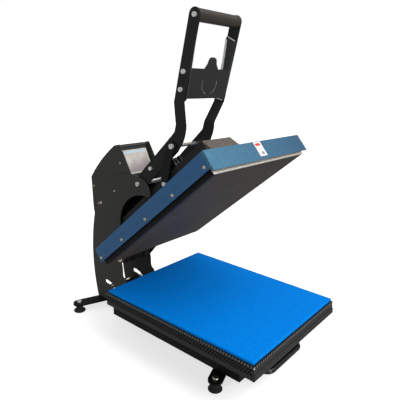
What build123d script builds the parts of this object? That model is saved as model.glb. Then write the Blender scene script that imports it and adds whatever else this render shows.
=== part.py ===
from build123d import *
import os
from math import atan2, cos, hypot, radians, sin

# Auto-opening clamshell heat press with 400 x 500 mm platens, shown open.
# Lengths are millimetres. +Z is up, the user stands at -Y, and X = 0 is the middle plane.
# Places are given as (depth, height): depth behind the pad's front edge, height above the
# pad's top face. yz() turns such a pair into the part's own frame, whose origin is on the
# table top under the middle of the whole press.

# ---- platens and lower table ----
PLATEN_WIDTH = 400.0
PLATEN_DEPTH = 500.0
PAD_THICKNESS = 8.0
PAD_TOP = 181.0                    # above the surface that the feet stand on
FRONT_LIP = 8.0                    # the table's trim stands this far in front of the pad
TABLE_HALF = 201.5
TABLE_BOTTOM = -46.0
TABLE_REAR = 504.0
SKIRT_THICKNESS = 2.0
LEG_TIP = 755.0                    # depth of the rearmost point, the rear legs' round ends
MID_DEPTH = (LEG_TIP - FRONT_LIP) / 2

# ---- base ----
BEAM_HALF = 118.0
BEAM_FRONT = 88.0
BEAM_REAR = 583.0
BEAM_TOP = -60.0
BEAM_BOTTOM = -146.0
SHEET = 3.0
LEG_TOP = -150.0
LEG_THICKNESS = 6.0
LEG_WIDTH = 40.0
FOOT_X = 142.0
FRONT_FOOT_DEPTH = 145.0
REAR_FOOT_DEPTH = LEG_TIP - LEG_WIDTH / 2
LEG_SPLAY = 20.0
LEG_LENGTH = 130.0
FOOT_RADIUS = 19.0
FOOT_HEIGHT = 19.0
STUD_RADIUS = 5.0

# ---- tower ----
TOWER_INNER = 61.0
TOWER_OUTER = 65.0
HOUSING_HALF = 62.0
HINGE = (605.0, 28.0)              # the head turns about this line
EAR = (518.5, 288.7)               # the handle turns about this line
CASE_WALL = 2.0
CASE_GAP = 0.3                     # between the case and the side plates

# ---- head, open by HEAD_TILT from lying flat on the pad ----
HEAD_TILT = 40.6
HEAD_REAR = (507.3, 75.6)          # the upper platen's rear edge, on its working face
PLATE_THICKNESS = 16.0
COVER_HALF = 209.5
COVER_FRONT = 511.2
COVER_REAR = -1.6
COVER_TOP = 55.1
COVER_LIP = 4.3                    # lower edge of the front flange
SKIRT_LIP = 12.3                   # lower edge of the side flanges
RAIL_TOP = 29.0                    # the thicker lower band of the side flanges ends here
COVER_SHEET = 1.5
CHANNEL_INNER = 50.0
CHANNEL_OUTER = 54.0
CHANNEL_FLOOR = 55.3
CHANNEL_TOP = 131.0
CHANNEL_FRONT = 277.0
MAGNET_HALF = 60.0
MAGNET_AT = 310.0                  # distance of the magnet from the platen's rear edge
MAGNET_RADIUS = 28.0
MAGNET_FACE = 141.3

# ---- toggle and handle ----
CRANK_PIN = (381.0, 417.0)
LINK_PIN = (409.0, 308.0)
SPACER = (467.8, 342.9)
CRANK_INNER = 56.5
ARM_INNER = 80.5
ARM_THICKNESS = 4.0
CRANK_WIDTH = 43.0
ARM_TOP = (294.0, 740.0)            # centre of the arms' round upper end
ARM_WIDTH = 34.4
GRIP = (292.0, 740.0)
GRIP_RADIUS = 15.5
JOGGLE_TOP = 536.0
JOGGLE_BOTTOM = 477.0
LINK_WIDTH = 27.5
LINK_BOW = 7.0                     # the links bow this far to the rear
CROSS_SHAFT_RADIUS = 5.0

# ---- gas struts ----
STRUT_TOP = (700.0, 195.0)
STRUT_LEVER = 62.0                 # from the hinge line to the strut's lower pin
STRUT_LEVER_ANGLE = -25.0
STRUT_X = 30.0


def yz(depth, height):
    """Local coordinates on Plane.YZ of a (depth, height) pair."""
    return (depth - MID_DEPTH, height + PAD_TOP)


def save(piece, name):
    piece.part.label = name
    export_step(piece.part, f"parts/{name}.step")


def side_plane(x):
    """The upright plane at this x, with local coordinates from yz()."""
    return Plane.YZ.offset(x)


def box_between(low, high, mode=Mode.ADD):
    """A box from two (x, depth, height) corners."""
    size = [b - a for a, b in zip(low, high)]
    middle = [(a + b) / 2 for a, b in zip(low, high)]
    with Locations((middle[0], *yz(middle[1], middle[2]))):
        Box(*size, mode=mode)


def bars(x_from, x_to, radius, *spots, mode=Mode.ADD):
    """Round bars along X between two x values, one at each (depth, height) spot."""
    with BuildSketch(side_plane(x_from)) as ends:
        with Locations(*[yz(*spot) for spot in spots]):
            Circle(radius)
    extrude(ends.sketch, amount=x_to - x_from, mode=mode)


def bolt_heads(x_face, radius, height, *spots):
    """Button heads with a hexagon socket, standing on the face at x_face, towards +X."""
    bars(x_face, x_face + height, radius, *spots)
    with BuildSketch(side_plane(x_face + height)) as sockets:
        with Locations(*[yz(*spot) for spot in spots]):
            RegularPolygon(radius * 0.48, 6)
    extrude(sockets.sketch, amount=-height * 0.55, mode=Mode.SUBTRACT)


def mirrored(piece):
    """The left-hand twin of a right-hand piece."""
    with BuildPart() as twin:
        add(mirror(piece.part, about=Plane.YZ))
    return twin


def save_pair(piece, name):
    save(piece, name + "_right")
    save(mirrored(piece), name + "_left")


os.makedirs("parts", exist_ok=True)

tilt = radians(HEAD_TILT)
head_origin = (0, *yz(*HEAD_REAR))
HEAD = Plane(origin=head_origin, x_dir=(0, -cos(tilt), sin(tilt)), z_dir=(0, sin(tilt), cos(tilt)))
HEAD_SIDE = Plane(origin=head_origin, x_dir=HEAD.x_dir, z_dir=(-1, 0, 0))


def in_head(spot):
    """(along, above) of a (depth, height) spot: from the platen's rear edge, above its face."""
    back = HEAD_REAR[0] - spot[0]
    up = spot[1] - HEAD_REAR[1]
    return (back * cos(tilt) + up * sin(tilt), -back * sin(tilt) + up * cos(tilt))


def slab(start, end, half_width, low, high, mode=Mode.ADD):
    """A block in the head's own frame, symmetric about the middle plane."""
    with BuildSketch(HEAD.offset(low)) as base:
        with Locations(((start + end) / 2, 0)):
            Rectangle(end - start, 2 * half_width)
    extrude(base.sketch, amount=high - low, mode=mode)


# =============================== base ===============================

with BuildPart() as base_beam:
    box_between((-BEAM_HALF, BEAM_FRONT, BEAM_BOTTOM), (BEAM_HALF, BEAM_REAR, BEAM_TOP))
    fillet(base_beam.edges().filter_by(Axis.Y), 2)
    box_between((SHEET - BEAM_HALF, BEAM_FRONT + SHEET, BEAM_BOTTOM - 1),
                (BEAM_HALF - SHEET, BEAM_REAR + 1, BEAM_TOP - SHEET), mode=Mode.SUBTRACT)
save(base_beam, "base_beam")

PLATE_HALF = 112.0
PLATE_STEP = 540.0                 # the base plate narrows here to pass between the tower plates
PLATE_REAR = 725.0
with BuildPart() as base_plate:
    box_between((-PLATE_HALF, BEAM_FRONT + 8, LEG_TOP), (PLATE_HALF, PLATE_STEP, BEAM_BOTTOM))
    box_between((-TOWER_INNER, PLATE_STEP, LEG_TOP), (TOWER_INNER, PLATE_REAR, BEAM_BOTTOM))
save(base_plate, "base_plate")


def build_leg(foot_depth, splay):
    """A right-hand leg: a strip with a round end, drilled for its levelling foot."""
    foot_y = yz(foot_depth, 0)[0]
    with BuildPart() as leg:
        with BuildSketch(Plane.XY.offset(PAD_TOP + LEG_TOP - LEG_THICKNESS)):
            with Locations(Location((FOOT_X, foot_y), 180 - splay)):
                Circle(LEG_WIDTH / 2)
                Rectangle(LEG_LENGTH, LEG_WIDTH, align=(Align.MIN, Align.CENTER))
                Circle(STUD_RADIUS, mode=Mode.SUBTRACT)
        extrude(amount=LEG_THICKNESS)
    return leg


save_pair(build_leg(FRONT_FOOT_DEPTH, LEG_SPLAY), "front_leg")
save_pair(build_leg(REAR_FOOT_DEPTH, -LEG_SPLAY), "rear_leg")

FOOT_SPOTS = [(side * FOOT_X, yz(depth, 0)[0])
              for side in (-1, 1) for depth in (FRONT_FOOT_DEPTH, REAR_FOOT_DEPTH)]
NUT_HEIGHT = 6.0
NUT_TOP = PAD_TOP + LEG_TOP - LEG_THICKNESS

with BuildPart() as rubber_feet:
    with BuildSketch(Plane.XZ) as foot_profile:
        with BuildLine():
            Polyline((0, 0), (FOOT_RADIUS - 1, 0), (FOOT_RADIUS, 1), (FOOT_RADIUS, 4),
                     (FOOT_RADIUS - 7, 10), (FOOT_RADIUS - 8, FOOT_HEIGHT), (STUD_RADIUS, FOOT_HEIGHT),
                     (STUD_RADIUS, 6), (0, 6), close=True)
        make_face()
    with Locations(*FOOT_SPOTS):
        add(revolve(foot_profile.sketch, Axis.Z, mode=Mode.PRIVATE))
save(rubber_feet, "rubber_feet")

HEAD_HEIGHT = 7.0
with BuildPart() as foot_studs:
    with BuildSketch(Plane.XY.offset(6)):
        with Locations(*FOOT_SPOTS):
            Circle(STUD_RADIUS)
    extrude(amount=PAD_TOP + LEG_TOP - 6)
    with BuildSketch(Plane.XY.offset(PAD_TOP + LEG_TOP)):
        with Locations(*FOOT_SPOTS):
            Circle(8.5)
    extrude(amount=HEAD_HEIGHT)
    fillet(foot_studs.edges().group_by(Axis.Z)[-1], 3)
save(foot_studs, "foot_studs")

with BuildPart() as lock_nuts:
    with BuildSketch(Plane.XY.offset(NUT_TOP)):
        with Locations(*FOOT_SPOTS):
            RegularPolygon(9.5, 6)
            Circle(STUD_RADIUS, mode=Mode.SUBTRACT)
    extrude(amount=-NUT_HEIGHT)
save(lock_nuts, "lock_nuts")

# =============================== tower ===============================

LOBE = 17.0                        # radius of the plate around the head's hinge


def tower_outline(x, grow=0):
    """Side plate outline: a broad foot, a round lobe at the hinge, and the handle's ear above
    the big arch that the head reaches through."""
    with BuildSketch(side_plane(x)) as outline:
        with BuildLine():
            rear = ThreePointArc(yz(731, LEG_TOP), yz(753, 10), yz(736, 149))
            seam = ThreePointArc(rear @ 1, yz(722, 212), yz(685, 262))
            shoulder = ThreePointArc(seam @ 1, yz(645, 287), yz(599, 305))
            crown = ThreePointArc(shoulder @ 1, yz(556, 314.4), yz(508, 307.5))
            nose = ThreePointArc(crown @ 1, yz(481, 291), yz(469, 269))
            tip = ThreePointArc(nose @ 1, yz(468.5, 261), yz(475, 256.5))
            under = Line(tip @ 1, yz(503, 256.5))
            arch = ThreePointArc(under @ 1, yz(573, 224), yz(606, 156))
            drop = Line(arch @ 1, yz(HINGE[0], HINGE[1] + LOBE))
            lobe = ThreePointArc(drop @ 1, yz(HINGE[0] - LOBE, HINGE[1]),
                                 yz(HINGE[0], HINGE[1] - LOBE))
            neck = Polyline(lobe @ 1, yz(600.5, -7), yz(599.5, -31))
            toe = ThreePointArc(neck @ 1, yz(595, -42), yz(584, -48))
            Polyline(toe @ 1, yz(584, -68), yz(546, -68), yz(546, LEG_TOP), yz(731, LEG_TOP))
        make_face()
        if grow:
            offset(amount=grow)
    return outline.sketch


SLOT_WIDTH = 15.0
SLOT_LINE = ThreePointArc(yz(684, -82), yz(662, -85), yz(643, -97))
with BuildPart() as tower_plate:
    extrude(tower_outline(TOWER_INNER), amount=TOWER_OUTER - TOWER_INNER)
    with BuildSketch(side_plane(TOWER_INNER)):
        SlotArc(SLOT_LINE, SLOT_WIDTH)
    extrude(amount=TOWER_OUTER - TOWER_INNER, mode=Mode.SUBTRACT)
    bars(TOWER_INNER, TOWER_OUTER, 10.0, HINGE, mode=Mode.SUBTRACT)
    bars(TOWER_INNER, TOWER_OUTER, 6.0, EAR, mode=Mode.SUBTRACT)
    bars(TOWER_INNER, TOWER_OUTER, 5.0, STRUT_TOP, mode=Mode.SUBTRACT)
save_pair(tower_plate, "tower_plate")

TIE_SPOTS = [(700.0, -118.0), (620.0, -118.0)]
with BuildPart() as tower_ties:
    bars(-TOWER_INNER, TOWER_INNER, 9.0, *TIE_SPOTS)
    bars(-TOWER_OUTER, TOWER_OUTER, 5.0, STRUT_TOP)
save(tower_ties, "tower_ties")

with BuildPart() as hinge_shaft:
    bars(-TOWER_OUTER, TOWER_OUTER, 10.0, HINGE)
    bolt_heads(TOWER_OUTER, 13.0, 6.0, HINGE)
    mirror(hinge_shaft.part, about=Plane.YZ)
save(hinge_shaft, "hinge_shaft")

with BuildPart() as ear_shaft:
    bars(-TOWER_OUTER, TOWER_OUTER, 6.0, EAR)
    bolt_heads(TOWER_OUTER, 6.5, 5.0, EAR)
    mirror(ear_shaft.part, about=Plane.YZ)
save(ear_shaft, "ear_shaft")

HOUSING_SCREWS = [(600.5, 340.0), (735.0, 245.0)]
PLATE_SCREWS = [(628.0, 247.0), (709.0, 191.0)]
with BuildPart() as tower_screws:
    bolt_heads(HOUSING_HALF, 3.2, 2.2, *HOUSING_SCREWS)
    bolt_heads(TOWER_OUTER, 3.2, 2.2, *PLATE_SCREWS)
    mirror(tower_screws.part, about=Plane.YZ)
save(tower_screws, "tower_screws")

# The controller's sheet-metal case: wide above the side plates, narrow where it sits between them.
SCREEN_FOOT = (560.3, 284.5)
SCREEN_HEAD = (610.0, 386.0)
CHEEK = HOUSING_HALF - (TOWER_INNER - CASE_GAP - CASE_WALL)    # the sides stand proud of the screen
CHEEK_ROUND = 7.0
CHEEK_CORNER = (604.5, 397.0)
CASE_BOTTOM = 151.0                # the case's back wall hangs down to here, with the vents in it

with BuildPart() as controller_case:
    with BuildSketch(side_plane(-HOUSING_HALF)):
        with BuildLine():
            Polyline(yz(557.5, 300), yz(558.5, 314), yz(606, 384), yz(616, 392), yz(627, 391))
            back = ThreePointArc(yz(627, 391), yz(698, 333), yz(750, 274))
            Polyline(back @ 1, yz(747, 228), yz(745.5, 193), yz(742.5, 161), yz(738, CASE_BOTTOM),
                     yz(731, CASE_BOTTOM), yz(731, 196), yz(690, 240), yz(566, 275),
                     yz(557.5, 300))
        make_face()
    extrude(amount=2 * HOUSING_HALF)
    with BuildSketch(side_plane(-HOUSING_HALF)):
        with BuildLine():
            Polyline(yz(562, 300), yz(554.5, 300), yz(554.5, 315), yz(*CHEEK_CORNER), yz(620, 392),
                     yz(627, 389), yz(600, 340), close=True)
        make_face()
        fillet(vertices().sort_by_distance((*yz(*CHEEK_CORNER), 0))[0], CHEEK_ROUND)
    cheeks = extrude(amount=CHEEK)
    mirror(cheeks, about=Plane.YZ)
    for side in (-1, 1):
        inner_face = side * (TOWER_INNER - CASE_GAP)
        extrude(tower_outline(inner_face, grow=2 * CASE_GAP), amount=side * 12, mode=Mode.SUBTRACT)
    with BuildSketch(side_plane(CASE_WALL + CASE_GAP - TOWER_INNER)):
        with BuildLine():
            Polyline(yz(500, 200), yz(560, 279), yz(*SCREEN_HEAD), yz(500, 420), close=True)
        make_face()
        with BuildLine():
            Polyline(yz(558, 279), yz(608, 386.5), yz(626, 388), yz(694, 333), yz(747.5, 272),
                     yz(744.8, 228), yz(743.3, 193), yz(740.3, 162), yz(737, CASE_BOTTOM + 2),
                     yz(733, CASE_BOTTOM + 2), yz(733, 198), yz(691, 242), close=True)
        make_face()
    extrude(amount=2 * (TOWER_INNER - CASE_GAP - CASE_WALL), mode=Mode.SUBTRACT)
    with BuildSketch(Plane(origin=(0, *yz(738, 0)), x_dir=(-1, 0, 0), z_dir=(0, 1, 0))):
        with Locations((0, CASE_BOTTOM + 35)):
            with GridLocations(0, 9, 1, 4):
                SlotOverall(70, 4)
    extrude(amount=12, mode=Mode.SUBTRACT)
save(controller_case, "controller_case")

SCREEN_TILT = atan2(SCREEN_HEAD[0] - SCREEN_FOOT[0], SCREEN_HEAD[1] - SCREEN_FOOT[1])
# Local x runs across the screen towards +X, local y up the screen, z out towards the user.
SCREEN = Plane(origin=(0, *yz(*SCREEN_FOOT)), x_dir=(1, 0, 0),
               z_dir=(0, -cos(SCREEN_TILT), sin(SCREEN_TILT)))
BEZEL_HALF = TOWER_INNER - CASE_GAP - CASE_WALL - 0.3
BEZEL_HEIGHT = 112.0
WINDOW_CENTRE = 64.0
WINDOW_SIZE = (99.0, 78.0)
BEZEL_THICKNESS = 4.0

with BuildPart() as screen_bezel:
    with BuildSketch(SCREEN):
        with Locations((0, BEZEL_HEIGHT / 2)):
            RectangleRounded(2 * BEZEL_HALF, BEZEL_HEIGHT, 3)
        with Locations((0, WINDOW_CENTRE)):
            Rectangle(*WINDOW_SIZE, mode=Mode.SUBTRACT)
    extrude(amount=-BEZEL_THICKNESS)
save(screen_bezel, "screen_bezel")

with BuildPart() as touch_screen:
    with BuildSketch(SCREEN.offset(-1.2)):
        with Locations((0, WINDOW_CENTRE)):
            Rectangle(WINDOW_SIZE[0] - 0.4, WINDOW_SIZE[1] - 0.4)
    extrude(amount=-5)
save(touch_screen, "touch_screen")

with BuildPart() as control_board:
    with BuildSketch(SCREEN.offset(-16)):
        with Locations((0, WINDOW_CENTRE)):
            Rectangle(92, 70)
    extrude(amount=-1.6)
    with BuildSketch(SCREEN.offset(-17.6)):
        with Locations((-30, WINDOW_CENTRE + 16)):
            Rectangle(18, 22)
        with Locations((12, WINDOW_CENTRE + 8)):
            Rectangle(14, 14)
        with Locations((14, WINDOW_CENTRE - 20)):
            Rectangle(40, 10)
    extrude(amount=-9)
save(control_board, "control_board")

# Rear closing sheet between the side plates. The mains inlet and the power switch's frame are
# one moulding with two snouts.
REAR_SHEET = 730.0
COVER_FOOT = 34.0
COVER_HEAD = 149.0
INLET_HEIGHT = 68.0
SWITCH_HEIGHT = 116.0
INLET_SIZE = (28.0, 48.0)
SWITCH_SIZE = (30.0, 22.0)
REAR = Plane(origin=(0, *yz(REAR_SHEET, 0)), x_dir=(-1, 0, 0), z_dir=(0, 1, 0))

with BuildPart() as rear_cover:
    with BuildSketch(REAR):
        with Locations((0, (COVER_FOOT + COVER_HEAD) / 2)):
            Rectangle(2 * (TOWER_INNER - CASE_GAP), COVER_HEAD - COVER_FOOT)
        with Locations((0, INLET_HEIGHT)):
            Rectangle(INLET_SIZE[0], INLET_SIZE[1], mode=Mode.SUBTRACT)
        with Locations((0, SWITCH_HEIGHT)):
            Rectangle(*SWITCH_SIZE, mode=Mode.SUBTRACT)
    extrude(amount=-2)
save(rear_cover, "rear_cover")

PANEL_LOW = INLET_HEIGHT - 30
PANEL_HIGH = SWITCH_HEIGHT + 14
with BuildPart() as power_inlet:
    with BuildSketch(REAR):
        with Locations((0, (PANEL_LOW + PANEL_HIGH) / 2)):
            RectangleRounded(36, PANEL_HIGH - PANEL_LOW, 6)
    extrude(amount=3)
    with BuildSketch(REAR):
        with Locations((0, INLET_HEIGHT)):
            Rectangle(INLET_SIZE[0] - 0.4, INLET_SIZE[1] - 0.4)
    extrude(amount=-20)
    with BuildSketch(REAR.offset(3)):
        with Locations((0, INLET_HEIGHT)):
            RectangleRounded(22, 30, 4)
    extrude(amount=-18, mode=Mode.SUBTRACT)
    with BuildSketch(REAR.offset(-15)):
        with Locations((0, INLET_HEIGHT - 7), (0, INLET_HEIGHT + 7), (6, INLET_HEIGHT)):
            Rectangle(2, 4)
    extrude(amount=13)
    with BuildSketch(REAR):
        with Locations((0, SWITCH_HEIGHT)):
            Rectangle(SWITCH_SIZE[0] - 0.4, SWITCH_SIZE[1] - 0.4)
    extrude(amount=-18)
    with BuildSketch(REAR.offset(3)):
        with Locations((0, SWITCH_HEIGHT)):
            Rectangle(SWITCH_SIZE[0] - 5, SWITCH_SIZE[1] - 5)
    extrude(amount=-15, mode=Mode.SUBTRACT)
save(power_inlet, "power_inlet")

SWITCH_PIVOT = (REAR_SHEET - 4, SWITCH_HEIGHT)
with BuildPart() as power_switch:
    with BuildSketch(side_plane(3.5 - SWITCH_SIZE[0] / 2)) as rocker_side:
        with BuildLine():
            Polyline(yz(SWITCH_PIVOT[0] + 6.5, SWITCH_HEIGHT - 7.5),
                     yz(SWITCH_PIVOT[0] + 4.5, SWITCH_HEIGHT),
                     yz(SWITCH_PIVOT[0] + 6.5, SWITCH_HEIGHT + 7.5),
                     yz(SWITCH_PIVOT[0] - 1, SWITCH_HEIGHT + 6.5),
                     yz(SWITCH_PIVOT[0] - 3, SWITCH_HEIGHT),
                     yz(SWITCH_PIVOT[0] - 1, SWITCH_HEIGHT - 6.5), close=True)
        make_face()
    extrude(amount=SWITCH_SIZE[0] - 7)
    bars(3.0 - SWITCH_SIZE[0] / 2, SWITCH_SIZE[0] / 2 - 3.0, 1.5, SWITCH_PIVOT)
save(power_switch, "power_switch")

# =========================== lower table (drawer) ===========================

with BuildPart() as pad:
    box_between((-PLATEN_WIDTH / 2, 0, -PAD_THICKNESS), (PLATEN_WIDTH / 2, PLATEN_DEPTH, 0))
    fillet(pad.edges().filter_by(Axis.Z), 2)
save(pad, "pad")

TABLE_SKIN = 12.0
TABLE_RIM = 10.0
with BuildPart() as lower_table:
    box_between((-TABLE_HALF, 0, TABLE_BOTTOM), (TABLE_HALF, TABLE_REAR, -PAD_THICKNESS))
    box_between((TABLE_RIM - TABLE_HALF, TABLE_RIM, TABLE_BOTTOM - 1),
                (TABLE_HALF - TABLE_RIM, TABLE_REAR - TABLE_RIM, -PAD_THICKNESS - TABLE_SKIN),
                mode=Mode.SUBTRACT)
    for rib_x in (-95.0, 95.0):
        box_between((rib_x - 12, TABLE_RIM, TABLE_BOTTOM),
                    (rib_x + 12, TABLE_REAR - TABLE_RIM, -PAD_THICKNESS - TABLE_SKIN))
save(lower_table, "lower_table")

with BuildPart() as table_skirt:
    box_between((TABLE_HALF, -1, TABLE_BOTTOM), (TABLE_HALF + SKIRT_THICKNESS, TABLE_REAR, -9.5))
    chamfer(table_skirt.edges().filter_by(Axis.Y).group_by(Axis.X)[-1], 0.6)
save_pair(table_skirt, "table_skirt")

with BuildPart() as front_trim:
    with BuildSketch(side_plane(-TABLE_HALF - SKIRT_THICKNESS)):
        with BuildLine():
            Polyline(yz(-1, -9), yz(-3.5, -9), yz(-4.5, -10.5), yz(-4.5, -19), yz(-3, -20),
                     yz(-3, -21.5), yz(-5.5, -22.5), yz(-5.5, -26.5), yz(-4, -27.5), yz(-4, -29),
                     yz(-FRONT_LIP, -30.5), yz(-FRONT_LIP, -35), yz(2 - FRONT_LIP, -36.2),
                     yz(2 - FRONT_LIP, -37.6), yz(-FRONT_LIP, -38.8), yz(-FRONT_LIP, -45),
                     yz(1 - FRONT_LIP, TABLE_BOTTOM), yz(-1, TABLE_BOTTOM), close=True)
        make_face()
    extrude(amount=2 * (TABLE_HALF + SKIRT_THICKNESS))
save(front_trim, "front_trim")

BRACKET_HALF = 96.0
BRACKET_FRONT = 74.0
BRACKET_BOTTOM = -118.0
LOOP_HALF = 82.0
LOOP_FRONT = 26.0
LOOP_HEIGHT = -106.0
LOOP_RADIUS = 8.0
LOOP_BEND = 20.0
with BuildPart() as handle_bracket:
    box_between((-BRACKET_HALF, BRACKET_FRONT, BRACKET_BOTTOM),
                (BRACKET_HALF, BRACKET_FRONT + SHEET, TABLE_BOTTOM))
    box_between((-BRACKET_HALF, 20, TABLE_BOTTOM - SHEET), (BRACKET_HALF, BRACKET_FRONT, TABLE_BOTTOM))
save(handle_bracket, "handle_bracket")

with BuildPart() as drawer_handle:
    loop_height = yz(0, LOOP_HEIGHT)[1]
    with BuildLine() as loop:
        FilletPolyline((-LOOP_HALF, yz(BRACKET_FRONT, 0)[0], loop_height),
                       (-LOOP_HALF, yz(LOOP_FRONT, 0)[0], loop_height),
                       (LOOP_HALF, yz(LOOP_FRONT, 0)[0], loop_height),
                       (LOOP_HALF, yz(BRACKET_FRONT, 0)[0], loop_height), radius=LOOP_BEND)
    with BuildSketch(Plane(origin=loop.line @ 0, z_dir=loop.line % 0)):
        Circle(LOOP_RADIUS)
    sweep()
save(drawer_handle, "drawer_handle")

with BuildPart() as handle_bolts:
    with BuildSketch(Plane(origin=(0, *yz(BRACKET_FRONT + SHEET, LOOP_HEIGHT)), x_dir=(1, 0, 0),
                           z_dir=(0, 1, 0))):
        with Locations((-LOOP_HALF, 0), (LOOP_HALF, 0)):
            RegularPolygon(6, 6)
    extrude(amount=5)
save(handle_bolts, "handle_bolts")

RAIL_X = 95.0
RAIL_FRONT = 100.0
RAIL_REAR = 570.0
with BuildPart() as fixed_rails:
    for side in (-1, 1):
        centre = side * RAIL_X
        box_between((centre - 12, RAIL_FRONT, BEAM_TOP), (centre + 12, RAIL_REAR, BEAM_TOP + 7))
        box_between((centre - 5, RAIL_FRONT, BEAM_TOP + 2), (centre + 5, RAIL_REAR, BEAM_TOP + 7),
                    mode=Mode.SUBTRACT)
save(fixed_rails, "fixed_rails")

with BuildPart() as moving_rails:
    for side in (-1, 1):
        centre = side * RAIL_X
        box_between((centre - 12, RAIL_FRONT, TABLE_BOTTOM - 6.4), (centre + 12, 490, TABLE_BOTTOM))
        box_between((centre - 4.6, RAIL_FRONT, TABLE_BOTTOM - 11.4),
                    (centre + 4.6, 490, TABLE_BOTTOM - 6.4))
save(moving_rails, "moving_rails")

# =============================== head ===============================

with BuildPart() as heater_plate:
    slab(0, PLATEN_DEPTH, PLATEN_WIDTH / 2, 0, PLATE_THICKNESS)
    upright = heater_plate.edges().filter_by(lambda e: abs(e.tangent_at(0.5).dot(HEAD.z_dir)) > 0.99)
    fillet(upright, 5)
    fillet(heater_plate.faces().sort_by(lambda f: f.center().dot(HEAD.z_dir))[0].edges(), 2.5)
save(heater_plate, "heater_plate")

ELEMENT_RADIUS = 4.0
ELEMENT_RUNS = 6
with BuildPart() as heating_element:
    corners = []
    for run in range(ELEMENT_RUNS):
        run_at = 60 + run * 76
        ends = [(run_at, -165), (run_at, 165)]
        corners += ends if run % 2 == 0 else ends[::-1]
    with BuildLine(HEAD.offset(PLATE_THICKNESS + ELEMENT_RADIUS)) as element_line:
        FilletPolyline(*corners, radius=30)
    with BuildSketch(Plane(origin=element_line.line @ 0, z_dir=element_line.line % 0)):
        Circle(ELEMENT_RADIUS)
    sweep()
save(heating_element, "heating_element")

with BuildPart() as insulation_board:
    slab(4, PLATEN_DEPTH - 4, PLATEN_WIDTH / 2 - 4, 25, 50)
save(insulation_board, "insulation_board")

RAIL_STEP = 1.2
with BuildPart() as head_cover:
    slab(COVER_REAR, COVER_FRONT, COVER_HALF - RAIL_STEP, COVER_LIP, COVER_TOP)
    fillet(head_cover.faces().sort_by(lambda f: f.center().dot(HEAD.z_dir))[-1].edges(), 1.4)
    slab(COVER_REAR, COVER_FRONT - 0.4, COVER_HALF, SKIRT_LIP, RAIL_TOP)
    slab(COVER_REAR + COVER_SHEET, COVER_FRONT - COVER_SHEET, COVER_HALF - RAIL_STEP - COVER_SHEET,
         COVER_LIP - 1, COVER_TOP - COVER_SHEET, mode=Mode.SUBTRACT)
    slab(COVER_REAR - 1, COVER_FRONT - 3.2, COVER_HALF + 1, COVER_LIP - 1, SKIRT_LIP,
         mode=Mode.SUBTRACT)
save(head_cover, "head_cover")

SCREW_ALONG = [9.0, 129.0, 249.0, 370.0, 492.0]
SCREW_ABOVE = 23.0
SCREW_SIDE = Plane(origin=HEAD.origin + Vector(COVER_HALF, 0, 0), x_dir=-HEAD.x_dir, z_dir=(1, 0, 0))
with BuildPart() as cover_screws:
    with BuildSketch(SCREW_SIDE):
        with Locations(*[(-spot, SCREW_ABOVE) for spot in SCREW_ALONG]):
            Circle(4.0)
    extrude(amount=2.4)
    fillet(cover_screws.edges().group_by(Axis.X)[-1], 1.4)
    with BuildSketch(SCREW_SIDE.offset(2.4)):
        with Locations(*[(-spot, SCREW_ABOVE) for spot in SCREW_ALONG]):
            Rectangle(4.4, 0.9)
            Rectangle(0.9, 4.4)
    extrude(amount=-1.1, mode=Mode.SUBTRACT)
    mirror(cover_screws.part, about=Plane.YZ)
save(cover_screws, "cover_screws")

HINGE_IN_HEAD = in_head(HINGE)
BARREL_RADIUS = 19.0
BARREL_NECK = 16.0                 # the barrel's ends, which fit into the channel walls
WALL_END = 21.0                    # radius of the channel walls' round end at the hinge
LINK_PIN_IN_HEAD = in_head(LINK_PIN)
LINK_PIN_RADIUS = 6.0


def channel_wall(start_x, thickness):
    """One side wall of the head's channel, reaching back and down to the hinge."""
    wall_plane = HEAD_SIDE.offset(-start_x)
    hinge_x, hinge_n = HINGE_IN_HEAD
    with BuildSketch(wall_plane) as wall:
        with BuildLine():
            Polyline((CHANNEL_FRONT, CHANNEL_FLOOR), (CHANNEL_FRONT, CHANNEL_TOP),
                     (60, CHANNEL_TOP - 1.5), (-26, CHANNEL_TOP - 3.5),
                     (hinge_x - WALL_END * 0.86, hinge_n + WALL_END * 0.51), (hinge_x, hinge_n),
                     (hinge_x, hinge_n - WALL_END), (-30, 18), (-6, CHANNEL_FLOOR),
                     close=True)
        make_face()
        with Locations(HINGE_IN_HEAD):
            Circle(WALL_END)
            Circle(BARREL_NECK, mode=Mode.SUBTRACT)
        with Locations(LINK_PIN_IN_HEAD):
            Circle(LINK_PIN_RADIUS + 0.1, mode=Mode.SUBTRACT)
    extrude(wall.sketch, amount=-thickness)


with BuildPart() as head_channel:
    slab(0, CHANNEL_FRONT, CHANNEL_INNER, CHANNEL_FLOOR, CHANNEL_FLOOR + 4)
    channel_wall(CHANNEL_INNER, CHANNEL_OUTER - CHANNEL_INNER)
    channel_wall(-CHANNEL_OUTER, CHANNEL_OUTER - CHANNEL_INNER)
save(head_channel, "head_channel")

BUSH_RADIUS = 13.0
with BuildPart() as hinge_barrel:
    bars(-CHANNEL_INNER, CHANNEL_INNER, BARREL_RADIUS, HINGE)
    bars(-CHANNEL_OUTER, CHANNEL_OUTER, BARREL_NECK - 0.02, HINGE)
    bars(-CHANNEL_OUTER, CHANNEL_OUTER, BUSH_RADIUS, HINGE, mode=Mode.SUBTRACT)
save(hinge_barrel, "hinge_barrel")

with BuildPart() as hinge_bushes:
    bars(30, TOWER_INNER - 0.5, BUSH_RADIUS, HINGE)
    bars(30, TOWER_INNER - 0.5, 10.05, HINGE, mode=Mode.SUBTRACT)
    mirror(hinge_bushes.part, about=Plane.YZ)
save(hinge_bushes, "hinge_bushes")

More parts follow.
